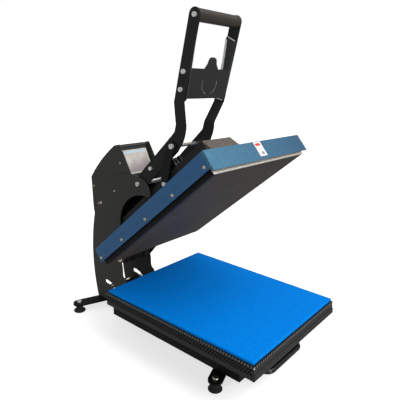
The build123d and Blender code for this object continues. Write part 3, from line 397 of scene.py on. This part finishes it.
def table_material():
    """Black casting whose rear rim is bare and browned by heat."""
    shader = Shader("table_casting", Specular_IOR_Level=0.2, Roughness=0.55)
    behind = shader.reach(PAD_EDGE, Vector((0, 1, 0)))
    browned = shader.remap(behind, 500.5, 501.5)
    grain = shader.noise(0.0015, 3, 0.6)
    stain = shader.noise(0.012, 3, 0.6)
    black = shader.mix(grain, (0.007, 0.007, 0.007), (0.014, 0.014, 0.013))
    brown = shader.mix(stain, (0.16, 0.085, 0.045), (0.07, 0.045, 0.03))
    shader.set(Base_Color=shader.mix(browned, black, brown),
               Normal=shader.bump(grain, 0.0001, normal=shader.rounded(0.0008)))
    return shader


def pad_material():
    """Blue silicone sponge: open grain, a little paler where it is rubbed."""
    shader = Shader("pad_silicone", Specular_IOR_Level=0.03)
    cell = shader.cells(0.0026)
    fine = shader.noise(0.0020, 3, 0.7)
    cloud = shader.noise(0.05, 4, 0.6)
    base = shader.mix(cloud, (0.0, 0.165, 0.62), (0.0, 0.200, 0.72))
    base = shader.mix(shader.remap(fine, 0.50, 0.66), base, (0.0, 0.29, 0.90))
    base = shader.mix(shader.remap(cell, 0.0, 0.34, 0.8, 0.0), base, (0.0, 0.085, 0.38))
    rough = shader.bump(fine, 0.00035, 0.7)
    shader.set(Base_Color=base, Normal=shader.bump(cell, 0.0003, 0.6, normal=rough),
               Roughness=shader.remap(fine, 0.3, 0.7, 0.62, 0.8))
    return shader


SCREEN_FOOT = place(0, 560.3, 284.5)
SCREEN_UP = (place(0, 610.0, 386.0) - SCREEN_FOOT).normalized()


def screen_material():
    """A lit touch screen with a generic layout: a pale frame, a title strip and a clouded field."""
    shader = Shader("screen_face", Roughness=0.22, Specular_IOR_Level=0.4)
    across = shader.reach(SCREEN_FOOT, ACROSS)
    up = shader.reach(SCREEN_FOOT, SCREEN_UP)
    cream = shader.mix(shader.noise(0.02, 2), (0.50, 0.49, 0.40), (0.62, 0.62, 0.52))
    cloud = shader.noise(0.045, 3, 0.5)
    field = shader.mix(shader.remap(cloud, 0.35, 0.65), (0.47, 0.43, 0.40), (0.66, 0.62, 0.57))
    marks = shader.remap(shader.noise(0.0042, 2, 0.4, shader.stretched(0.6, 1.6, 1.6)), 0.56, 0.66)
    title = shader.both(shader.band(across, -44, 44), shader.band(up, 92, 98.5))
    middle = shader.both(shader.band(across, -44, 44), shader.band(up, 30, 90))
    low_left = shader.remap(shader.math("SUBTRACT", up, shader.math("MULTIPLY", across, 0.35)), 40, 78)
    shown = shader.both(marks, shader.band(across, -36, 36), shader.band(up, 38, 84))
    colour = shader.mix(title, cream, (0.48, 0.66, 0.78))
    colour = shader.mix(middle, colour, shader.mix(low_left, (0.30, 0.26, 0.27), field))
    colour = shader.mix(shader.math("MULTIPLY", shown, 0.35), colour, (0.24, 0.20, 0.19))
    shader.set(Base_Color=colour, Emission_Color=colour, Emission_Strength=0.12)
    return shader


def label_material():
    """A plain sticker with a red block and grey bars in place of any words."""
    shader = Shader("sticker", Roughness=0.4, Specular_IOR_Level=0.3)
    low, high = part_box("blank_label")
    middle = Vector(((low.x + high.x) / 2, 0, 0))
    across = shader.reach(middle, ACROSS)
    above = shader.reach(HEAD_ORIGIN, HEAD_NORMAL)
    red = shader.both(shader.band(across, -12, 10), shader.band(above, 41.5, 49.5))
    step = shader.math("PINGPONG", shader.math("ADD", above, 100.0), 2.6)
    bars = shader.both(shader.remap(step, 1.5, 1.8), shader.band(above, 27.5, 38),
                       shader.band(across, -12, 12))
    block = shader.both(shader.band(across, -4, 9), shader.band(above, 17, 25))
    paper = shader.mix(shader.noise(0.01, 3), (0.78, 0.78, 0.76), (0.90, 0.90, 0.88))
    colour = shader.mix(red, paper, (0.62, 0.06, 0.045))
    colour = shader.mix(bars, colour, (0.42, 0.42, 0.42))
    colour = shader.mix(block, colour, (0.28, 0.28, 0.30))
    shader.set(Base_Color=colour, Normal=shader.bump(shader.noise(0.001, 2), 0.00002))
    return shader


def magnet_material():
    """Hammered black coat whose front slope is painted pale grey-brown as a painted reflection of its
    sheen.
    """
    shader = Shader("magnet_case_coat", Specular_IOR_Level=0.25)
    along = shader.reach(HEAD_ORIGIN, HEAD_ALONG)
    slope = shader.remap(along, 409.5, 411.5)
    fine = shader.noise(0.0032, 4, 0.72)
    dark = shader.mix(fine, (0.010, 0.0095, 0.009), (0.020, 0.019, 0.018))
    # painted reflection: the slope's pale grey-brown stands for sheen on the black coat; the hammered
    # texture is its own
    painted_highlight = shader.mix(shader.remap(fine, 0.40, 0.62), (0.050, 0.039, 0.030), (0.190, 0.168, 0.142))
    shader.set(Base_Color=shader.mix(slope, dark, painted_highlight),
               Roughness=shader.remap(fine, 0.3, 0.7, 0.4, 0.6),
               Normal=shader.bump(fine, 0.0003, normal=shader.rounded(0.001)))
    return shader


STRIKE_FOOT = place(0, 317.6, 545.0)
STRIKE_TOP = place(0, 304.0, 619.0)
STRIKE_BEND = abs(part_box("strike_plate")[0].x) / MM - 1.0    # where the flanges bend back
STRIKE_SPOT = 40.0                   # middle of the rubbed ring, above the plate's lower edge
STRIKE_RING = 29.5


def strike_material():
    """Charcoal coat with painted highlights along its bends and edges, and two rubbed arcs where the
    magnet's rim touches.
    """
    shader = Shader("strike_plate_coat", Specular_IOR_Level=0.25)
    up = (STRIKE_TOP - STRIKE_FOOT).normalized()
    centre = STRIKE_FOOT + up * STRIKE_SPOT * MM
    across = shader.reach(centre, ACROSS)
    high = shader.reach(centre, up)
    squares = shader.math("ADD", shader.math("POWER", across, 2.0), shader.math("POWER", high, 2.0))
    radius = shader.math("SQRT", squares)
    ring = shader.band(radius, STRIKE_RING - 0.5, STRIKE_RING + 0.5, 0.5)
    sides = shader.remap(shader.math("ABSOLUTE", across), 7.0, 14.0)
    lower = shader.remap(high, 9.0, 4.0)
    breaks = shader.remap(shader.noise(0.006, 3, 0.7), 0.36, 0.56)
    scuff = shader.both(ring, sides, lower, breaks)
    # painted highlight: a paler band along each bend
    bend = shader.band(shader.math("ABSOLUTE", across), STRIKE_BEND - 1.6, STRIKE_BEND, 0.8)
    fine = shader.noise(0.0011, 3, 0.55)
    cloud = shader.noise(0.03, 4, 0.6)
    coat = shader.mix(cloud, (0.0160, 0.0162, 0.0166), (0.0250, 0.0252, 0.0258))
    # painted highlight: paler edges where the light catches
    coat = shader.mix(shader.math("MULTIPLY", shader.edges(0.0008), 0.5), coat, (0.09, 0.09, 0.09))
    coat = shader.mix(shader.math("MULTIPLY", bend, 0.7), coat, (0.085, 0.095, 0.105))
    shader.set(Base_Color=shader.mix(scuff, coat, (0.38, 0.38, 0.38)),
               Roughness=shader.remap(fine, 0.3, 0.7, 0.4, 0.52),
               Normal=shader.bump(fine, 0.0001, normal=shader.rounded(0.0008)))
    return shader


paint(base_black, "base_beam")
paint(leg_coat, "front_leg_left", "front_leg_right", "rear_leg_left", "rear_leg_right")
paint(plate_black, "base_plate", "hinge_barrel", "strut_levers", "pivot_block", "crank_spacer",
      "head_channel")
paint(rubber, "rubber_feet")
paint(zinc, "foot_studs", "lock_nuts", "handle_bolts")
paint(tower_coat, "tower_plate_left", "tower_plate_right", "controller_case", "rear_cover")
paint(turned, "tower_ties", "hinge_shaft", "pressure_spindle", "cross_shaft", "heating_element")
paint(bright_bolt, "ear_shaft", "arm_bolts", "link_bolts", "link_pivots")
paint(bezel_plastic, "screen_bezel")
paint(screen_material(), "touch_screen")
paint(board_green, "control_board")
paint(inlet_plastic, "power_inlet")
paint(rocker_plastic, "power_switch")
paint(drawn, "fixed_rails", "moving_rails")
paint(table_material(), "lower_table")
paint(trim_coat, "front_trim", "table_skirt_left", "table_skirt_right")
paint(gloss_black, "handle_bracket", "drawer_handle", "gas_cylinders")
paint(heater_material(), "heater_plate")
paint(wool, "insulation_board")
paint(cover_material(), "head_cover")
paint(gold_screw, "cover_screws", "tower_screws")
paint(arm_coat, "handle_arm_left", "handle_arm_right")
paint(link_coat, "toggle_link_left", "toggle_link_right")
paint(bronze, "hinge_bushes")
paint(magnet_material(), "magnet_case")
paint(pole_face, "electromagnet")
paint(label_material(), "blank_label")
paint(knob_plastic, "pressure_knob")
paint(grip_rubber, "grip_tube")
paint(strike_material(), "strike_plate")
paint(chrome, "gas_rods")

# =============================== pad ===============================

pad_blue = pad_material()


def build_pad():
    """The foam pad: a closed sheet whose top rolls over at its edges and swells a little inside."""
    low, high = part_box("pad")
    columns, rows = 60, 72
    roll = 0.0035
    mesh_data = bmesh.new()

    def spaced(start, end, count):
        """Places from start to end, closer together at both ends."""
        shares = [0.5 - 0.5 * cos(pi * step / count) for step in range(count + 1)]
        return [start + (end - start) * share for share in shares]

    def dropped(x, y):
        gap = min(x - low.x, high.x - x, y - low.y, high.y - y)
        inside = min(1.0, max(0.0, gap / roll))
        rolled = 0.0022 * (1 - (1 - (1 - inside) ** 2) ** 0.5)
        swell = 0.0005 * (1 - min(1.0, gap / 0.05))
        ripple = 0.0003 * (noise.noise(Vector((x, y, 0)) * 14) - 0.5)
        return high.z - rolled - swell + min(0.0, ripple * inside)

    xs = spaced(low.x, high.x, columns)
    ys = spaced(low.y, high.y, rows)
    top = [[mesh_data.verts.new((x, y, dropped(x, y))) for y in ys] for x in xs]
    for i in range(columns):
        for j in range(rows):
            mesh_data.faces.new((top[i][j], top[i + 1][j], top[i + 1][j + 1], top[i][j + 1]))
    border = ([top[i][0] for i in range(columns)] + [top[columns][j] for j in range(rows)]
              + [top[i][rows] for i in range(columns, 0, -1)] + [top[0][j] for j in range(rows, 0, -1)])
    below = border
    for share, inset in ((0.55, 0.0003), (0.9, 0.0), (1.0, 0.0006)):
        ring = []
        for vert in border:
            x = max(low.x + inset, min(high.x - inset, vert.co.x))
            y = max(low.y + inset, min(high.y - inset, vert.co.y))
            ring.append(mesh_data.verts.new((x, y, vert.co.z * (1 - share) + low.z * share)))
        for index in range(len(ring)):
            after = (index + 1) % len(ring)
            mesh_data.faces.new((below[index], below[after], ring[after], ring[index]))
        below = ring
    mesh_data.faces.new(below)
    pad = add_piece("pad_foam", "drawer", pad_blue, mesh_data, ["pad"], smooth=True)


build_pad()

# =============================== pressed skirts and front trim ===============================

TOOTH_ROW = 6.0                      # height of the toothed top edge
HOLE_PITCH = 8.5
HOLE_ROW = 6.2
HOLE_ROWS = 3
SKIRT_LIFT = 0.6                     # how deep the chamfered lower edge is


def pressed_cell(mesh_data, corner, across, up, inward, hole_wide, hole_high, deep, floor_faces):
    """One rectangle of sheet with a diamond recess, from its lower corner."""
    middle = corner + across / 2 + up / 2
    rim = [corner + across * u + up * v for u, v in
           ((0, 0), (0.5, 0), (1, 0), (1, 0.5), (1, 1), (0.5, 1), (0, 1), (0, 0.5))]
    hole = []
    for index in range(8):
        angle = tau * (index + 5) / 8
        pull = 1.0 if index % 2 else 0.72
        hole.append(middle + across.normalized() * cos(angle) * hole_wide * pull
                    + up.normalized() * sin(angle) * hole_high * pull)
    outer = [mesh_data.verts.new(point) for point in rim]
    lip = [mesh_data.verts.new(point) for point in hole]
    bottom = [mesh_data.verts.new(point + inward * deep) for point in hole]
    for index in range(8):
        after = (index + 1) % 8
        mesh_data.faces.new((outer[index], outer[after], lip[after], lip[index]))
        wall = mesh_data.faces.new((lip[index], lip[after], bottom[after], bottom[index]))
        floor_faces.append(wall)
    floor_faces.append(mesh_data.faces.new(bottom))


def build_skirt(side):
    """A side skirt: a toothed top edge painted pale as highlight, three staggered rows of diamonds whose
    recesses are painted near-black as shade, and a plain lower band.
    """
    name = "right" if side > 0 else "left"
    low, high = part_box("table_skirt_" + name)
    outer = high.x if side > 0 else low.x
    inner = low.x if side > 0 else high.x
    out = Vector((side, 0, 0))
    deep = abs(outer - inner) * 0.75
    mesh_data = bmesh.new()
    dark = []
    length = high.y - low.y
    count = int(length / (HOLE_PITCH * MM))
    pitch = length / count
    top = high.z - TOOTH_ROW * MM
    across = Vector((0, pitch, 0))
    up = Vector((0, 0, HOLE_ROW * MM))
    for row in range(HOLE_ROWS):
        foot = top - (row + 1) * HOLE_ROW * MM
        shift = 0.5 * pitch if row % 2 else 0.0
        for column in range(count - (1 if row % 2 else 0)):
            corner = Vector((outer, low.y + shift + column * pitch, foot))
            pressed_cell(mesh_data, corner, across, up, -out, pitch * 0.46, HOLE_ROW * MM * 0.49, deep,
                         dark)
        if row % 2:
            for start in (low.y, high.y - shift):
                face = [Vector((outer, start, foot)), Vector((outer, start + shift, foot)),
                        Vector((outer, start + shift, foot + HOLE_ROW * MM)),
                        Vector((outer, start, foot + HOLE_ROW * MM))]
                mesh_data.faces.new([mesh_data.verts.new(point) for point in face])
    foot = top - HOLE_ROWS * HOLE_ROW * MM
    lift = SKIRT_LIFT * MM
    back = outer - side * (abs(outer - inner) - 0.0001)
    lower = [Vector((outer, low.y, foot)), Vector((outer, low.y, low.z + lift)),
             Vector((outer - side * lift, low.y, low.z)), Vector((back, low.y, low.z)),
             Vector((back, low.y, foot))]
    prism(mesh_data, lower, Vector((0, length, 0)))
    crest = high.z - 0.0006
    behind = [Vector((outer - side * deep, low.y, foot)), Vector((back, low.y, foot)),
              Vector((back, low.y, crest)), Vector((outer - side * deep, low.y, crest))]
    rear_sheet = len(mesh_data.faces)
    prism(mesh_data, behind, Vector((0, length, 0)))
    mesh_data.faces.ensure_lookup_table()
    dark += list(mesh_data.faces)[rear_sheet:]
    for end in (low.y, high.y):
        strip = [Vector((outer, end, foot)), Vector((outer - side * deep, end, foot)),
                 Vector((outer - side * deep, end, top)), Vector((outer, end, top))]
        mesh_data.faces.new([mesh_data.verts.new(point) for point in strip])
    light = len(mesh_data.faces)
    for column in range(count):
        start = low.y + (column + 0.18) * pitch
        wide = pitch * 0.58
        crown = high.z
        tooth = [Vector((outer, start, top)), Vector((outer, start, crown - 0.0009)),
                 Vector((outer - side * 0.0007, start, crown)),
                 Vector((outer - side * deep * 0.98, start, crown)),
                 Vector((outer - side * deep * 0.98, start, top))]
        prism(mesh_data, tooth, Vector((0, wide, 0)))
    mesh_data.faces.ensure_lookup_table()
    # painted shade: the recess walls, floors and the sheet behind them get the near-black coat
    for face in dark:
        face.material_index = 1
    # painted highlight: the teeth get the paler coat
    for face in list(mesh_data.faces)[light:]:
        face.material_index = 2
    skirt = add_piece("skirt_" + name, "drawer", trim_coat, mesh_data, ["table_skirt_" + name])
    skirt.data.materials.append(recess_coat.data)
    skirt.data.materials.append(tooth_coat.data)


for side in (-1, 1):
    build_skirt(side)


GROOVE_DEPTH = -4.0                  # front trim faces behind this depth are grooves painted near-black as shade


def build_trim():
    """The front trim: a row of upright teeth along its top painted pale as highlight, grooves painted
    near-black as shade, and a rolled lower lip.
    """
    low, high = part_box("front_trim")
    mesh_data = bmesh.new()
    profile = [(-1, -9), (-3.0, -9), (-3.0, -17.4), (-4.5, -18.2), (-4.6, -20.2), (-3.0, -21),
               (-3.0, -22.2), (-5.3, -23), (-5.5, -24.5), (-5.3, -27.6), (-3.6, -28.4), (-3.6, -29.6),
               (-7.4, -30.4), (-8, -31.4), (-8, -34.4), (-7.2, -35.6), (-6, -36.2), (-6, -37.4),
               (-7.4, -38), (-8, -39), (-8, -43.6), (-7.2, -45.2), (-6, -46), (-1, -46)]
    ends = [place(0, depth, height) + Vector((low.x, 0, 0)) for depth, height in profile]
    prism(mesh_data, ends, Vector((high.x - low.x, 0, 0)))
    body_faces = len(mesh_data.faces)
    count = round((high.x - low.x) / (HOLE_PITCH * MM))
    pitch = (high.x - low.x) / count
    for column in range(count):
        start = low.x + (column + 0.2) * pitch
        tooth = [(-2.95, -9.2), (-4.6, -9.2), (-5.2, -10.2), (-5.2, -15.9), (-4.6, -16.9),
                 (-2.95, -16.9)]
        points = [place(0, depth, height) + Vector((start, 0, 0)) for depth, height in tooth]
        prism(mesh_data, points, Vector((pitch * 0.5, 0, 0)))
    mesh_data.faces.ensure_lookup_table()
    # painted highlight: the teeth get the paler coat
    for face in list(mesh_data.faces)[body_faces:]:
        face.material_index = 1
    # painted shade: faces deep in the grooves get the near-black coat
    groove_reach = place(0, GROOVE_DEPTH, 0).y
    for face in list(mesh_data.faces)[2:body_faces]:
        if all(vert.co.y > groove_reach for vert in face.verts):
            face.material_index = 2
    trim = add_piece("ribbed_front_trim", "drawer", trim_coat, mesh_data, ["front_trim"])
    trim.data.materials.append(tooth_coat.data)
    trim.data.materials.append(recess_coat.data)


build_trim()

# =============================== small fittings ===============================


def build_corner_studs():
    """Domed rivets that pin the front trim to the table's corners."""
    mesh_data = bmesh.new()
    for side in (-1, 1):
        spot = place(side * 200.8, -3.2, -13.5)
        turned_piece(mesh_data, spot, Vector((side * 0.35, -0.9, 0.25)).normalized(),
                     [(0, 0), (2.4, 0), (2.4, 0.5), (2.0, 1.2), (1.1, 1.7), (0, 1.9)], 16)
    add_piece("trim_rivets", "drawer", bright_bolt, mesh_data, smooth=True)


build_corner_studs()


FLANGE_SHEET = 3.0
EDGING_THICKNESS = 0.4


def build_flange_edging():
    """Bright strips laid along the edges of the strike plate's two flanges as painted highlights."""
    mesh_data = bmesh.new()
    inner = abs(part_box("strike_plate")[0].x) / MM - FLANGE_SHEET
    strips = [[(316.4, 698.2), (322.2, 699.0), (333.9, 620.9), (327.6, 620.0)],
              [(291.0, 694.1), (314.5, 706.1), (317.9, 705.1), (314.8, 703.4), (291.8, 691.6)],
              [(325.4, 538.3), (353.2, 543.0), (352.7, 545.6), (325.0, 540.9)]]
    for side in (-1, 1):
        for strip in strips:
            outline = [place(side * inner, depth, height) for depth, height in strip]
            prism(mesh_data, outline, Vector((-side * EDGING_THICKNESS * MM, 0, 0)))
    add_piece("flange_edging", "handle", edge_steel, mesh_data)


build_flange_edging()

# =============================== studio ===============================

floor_mesh = bpy.data.meshes.new("studio_floor")
FLOOR_HALF = 30.0
floor_mesh.from_pydata([(-FLOOR_HALF, -FLOOR_HALF, 0), (FLOOR_HALF, -FLOOR_HALF, 0),
                        (FLOOR_HALF, FLOOR_HALF, 0), (-FLOOR_HALF, FLOOR_HALF, 0)], [], [(0, 1, 2, 3)])
floor = bpy.data.objects.new("studio_floor", floor_mesh)
bpy.context.collection.objects.link(floor)
floor_paint = Shader("studio_floor", Roughness=0.9, Base_Color=(0.62, 0.62, 0.62),
                     Specular_IOR_Level=0.1, Emission_Color=(1, 1, 1), Emission_Strength=0.66)
floor_mesh.materials.append(floor_paint.data)
floor.visible_diffuse = False        # the room, not the floor, lights the undersides
floor.visible_glossy = False

world = bpy.data.worlds.new("studio")
bpy.context.scene.world = world
world.use_nodes = True
ROOM_LIGHT = 0.38
room = world.node_tree
lit = room.nodes["Background"]
lit.inputs["Color"].default_value = (1, 1, 1, 1)
lit.inputs["Strength"].default_value = ROOM_LIGHT
backdrop = room.nodes.new("ShaderNodeBackground")
backdrop.inputs["Color"].default_value = (1, 1, 1, 1)
backdrop.inputs["Strength"].default_value = 1.0
choice = room.nodes.new("ShaderNodeMixShader")
room.links.new(room.nodes.new("ShaderNodeLightPath").outputs["Is Camera Ray"], choice.inputs[0])
room.links.new(lit.outputs[0], choice.inputs[1])
room.links.new(backdrop.outputs[0], choice.inputs[2])
room.links.new(choice.outputs[0], room.nodes["World Output"].inputs["Surface"])

sun_data = bpy.data.lights.new("key_light", "SUN")
sun_data.energy = 2.1
sun_data.angle = radians(60)
sun = bpy.data.objects.new("key_light", sun_data)
bpy.context.collection.objects.link(sun)
sun.rotation_euler = Vector((-0.28, 0.48, -1.0)).to_track_quat("-Z", "Y").to_euler()


def softbox(name, at, aim, size, power, tint=(1, 1, 1)):
    light = bpy.data.lights.new(name, "AREA")
    light.shape = "SQUARE"
    light.size = size
    light.energy = power
    light.color = tint
    lamp = bpy.data.objects.new(name, light)
    bpy.context.collection.objects.link(lamp)
    lamp.location = at
    lamp.rotation_euler = (Vector(aim) - Vector(at)).to_track_quat("-Z", "Y").to_euler()
    return lamp


softbox("front_softbox", (-0.35, -1.6, 1.6), (0, 0, 0.5), 0.8, 10)
softbox("low_softbox", (-0.5, -3.0, 0.12), (0, 0, 0.5), 0.5, 26, (1.0, 0.88, 0.74))
softbox("left_softbox", (-3.2, -0.8, 1.8), (0, 0, 0.4), 1.0, 14)

# The camera stands to the front left of the press, a little above it.
CAMERA_AT = PAD_EDGE + Vector((-0.9200, -0.4347, 0.5967))
CAMERA_HEADING = radians(50.21)      # from +Y towards +X
CAMERA_DOWN = radians(15.52)
CAMERA_ROLL = radians(1.55)
CAMERA_LENS = 39.55
ahead = Vector((sin(CAMERA_HEADING) * cos(CAMERA_DOWN), cos(CAMERA_HEADING) * cos(CAMERA_DOWN),
                -sin(CAMERA_DOWN)))
level = Vector((cos(CAMERA_HEADING), -sin(CAMERA_HEADING), 0))
right = level * cos(CAMERA_ROLL) + level.cross(ahead) * sin(CAMERA_ROLL)
upward = right.cross(ahead)
camera_data = bpy.data.cameras.new("camera")
camera_data.lens = CAMERA_LENS
camera_data.sensor_width = 36.0
camera = bpy.data.objects.new("camera", camera_data)
bpy.context.collection.objects.link(camera)
turn = Matrix((right, upward, -ahead)).transposed().to_4x4()
camera.matrix_world = Matrix.Translation(CAMERA_AT) @ turn
bpy.context.scene.camera = camera
bpy.context.scene.view_settings.view_transform = "Standard"
